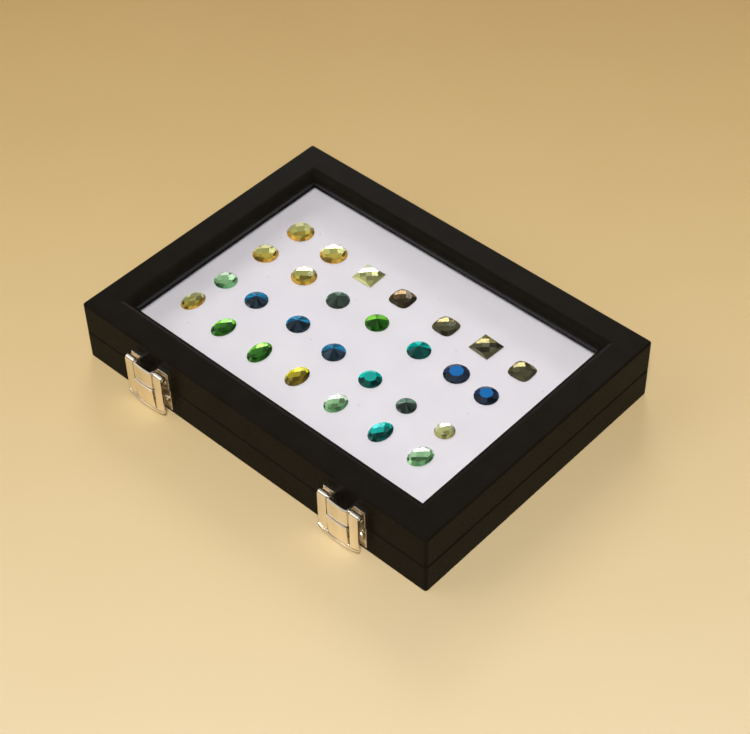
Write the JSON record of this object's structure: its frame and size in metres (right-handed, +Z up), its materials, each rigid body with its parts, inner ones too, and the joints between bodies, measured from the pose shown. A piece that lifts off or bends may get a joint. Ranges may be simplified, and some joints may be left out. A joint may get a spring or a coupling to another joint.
{
  "type": "gemstone display box",
  "caption": "Shallow rectangular display box with a hinged glass-windowed lid, two toggle clasps and a white pad of faceted stones.",
  "frame": {"origin": "centre of the box's underside, which is the face it rests on", "axes": "+X along the front from left to right, +Y from the front with the clasps to the rear with the hinges, +Z up"},
  "size_m": [0.22, 0.1707, 0.035],
  "materials": {
    "black_leatherette": "fine-grained satin",
    "fibreboard": "plain board",
    "underside_paper": "matt",
    "foam": "matt foam, hidden",
    "white_velvet": "short velvet pile",
    "black_felt": "matt flock",
    "clear_glass": "clear and polished",
    "black_bead": "matt black",
    "bright_nickel": "bright nickel plate",
    "golden_crystal": "faceted, foiled back",
    "champagne_crystal": "faceted, foiled back",
    "smoke_crystal": "faceted, foiled back",
    "black_diamond_crystal": "faceted, foiled back",
    "grey_green_crystal": "faceted, foiled back",
    "green_crystal": "faceted, foiled back",
    "teal_crystal": "faceted, foiled back",
    "sapphire_crystal": "faceted, foiled back",
    "blue_crystal": "faceted, foiled back",
    "mint_crystal": "faceted, foiled back",
    "citrine_crystal": "faceted, foiled back"
  },
  "bodies": {
    "base": {"base_floor": "fibreboard", "base_rail_front": "fibreboard", "base_rail_rear": "fibreboard", "base_rail_left": "fibreboard", "base_rail_right": "fibreboard", "base_leatherette": "black_leatherette", "underside_sheet": "underside_paper", "foam_block": "foam", "display_pad": "white_velvet", "clasp_left_catch_plate": "bright_nickel", "clasp_right_catch_plate": "bright_nickel", "clasp_catch_screws": "bright_nickel", "hinge_left_base_leaf": "bright_nickel", "hinge_right_base_leaf": "bright_nickel", "hinge_left_pin": "bright_nickel", "hinge_right_pin": "bright_nickel", "hinge_base_screws": "bright_nickel", "golden_round_stones": "golden_crystal", "golden_oval_stone": "golden_crystal", "champagne_square_stone": "champagne_crystal", "champagne_round_stone": "champagne_crystal", "smoke_cushion_stone": "smoke_crystal", "black_diamond_stones": "black_diamond_crystal", "grey_green_stones": "grey_green_crystal", "green_round_stone": "green_crystal", "green_oval_stones": "green_crystal", "teal_round_stones": "teal_crystal", "teal_oval_stone": "teal_crystal", "sapphire_stones": "sapphire_crystal", "blue_pointed_stones": "blue_crystal", "mint_round_stone": "mint_crystal", "mint_oval_stones": "mint_crystal", "citrine_oval_stone": "citrine_crystal"},
    "lid": {"lid_rail_front": "fibreboard", "lid_rail_rear": "fibreboard", "lid_rail_left": "fibreboard", "lid_rail_right": "fibreboard", "lid_frame_front": "fibreboard", "lid_frame_rear": "fibreboard", "lid_frame_left": "fibreboard", "lid_frame_right": "fibreboard", "glass_bead_front": "black_bead", "glass_bead_rear": "black_bead", "glass_bead_left": "black_bead", "glass_bead_right": "black_bead", "lid_leatherette": "black_leatherette", "glass_pane": "clear_glass", "lid_lining": "black_felt", "clasp_left_lid_plate": "bright_nickel", "clasp_right_lid_plate": "bright_nickel", "clasp_left_pin": "bright_nickel", "clasp_right_pin": "bright_nickel", "clasp_lid_screws": "bright_nickel", "hinge_left_lid_leaf": "bright_nickel", "hinge_right_lid_leaf": "bright_nickel", "hinge_lid_screws": "bright_nickel"},
    "left_lever": {"clasp_left_lever": "bright_nickel"},
    "right_lever": {"clasp_right_lever": "bright_nickel"}
  },
  "joints": [
    {"name": "lid_hinge", "type": "hinge", "parent": "base", "child": "lid", "pos_m": [0, 0.082, 0.0167], "axis": [-1, 0, 0], "range_deg": [0, 100]},
    {"name": "left_clasp_hinge", "type": "hinge", "parent": "lid", "child": "left_lever", "pos_m": [-0.0628, -0.0836, 0.02525], "axis": [-1, 0, 0], "range_deg": [0, 110]},
    {"name": "right_clasp_hinge", "type": "hinge", "parent": "lid", "child": "right_lever", "pos_m": [0.0628, -0.0836, 0.02525], "axis": [-1, 0, 0], "range_deg": [0, 110]}
  ]
}
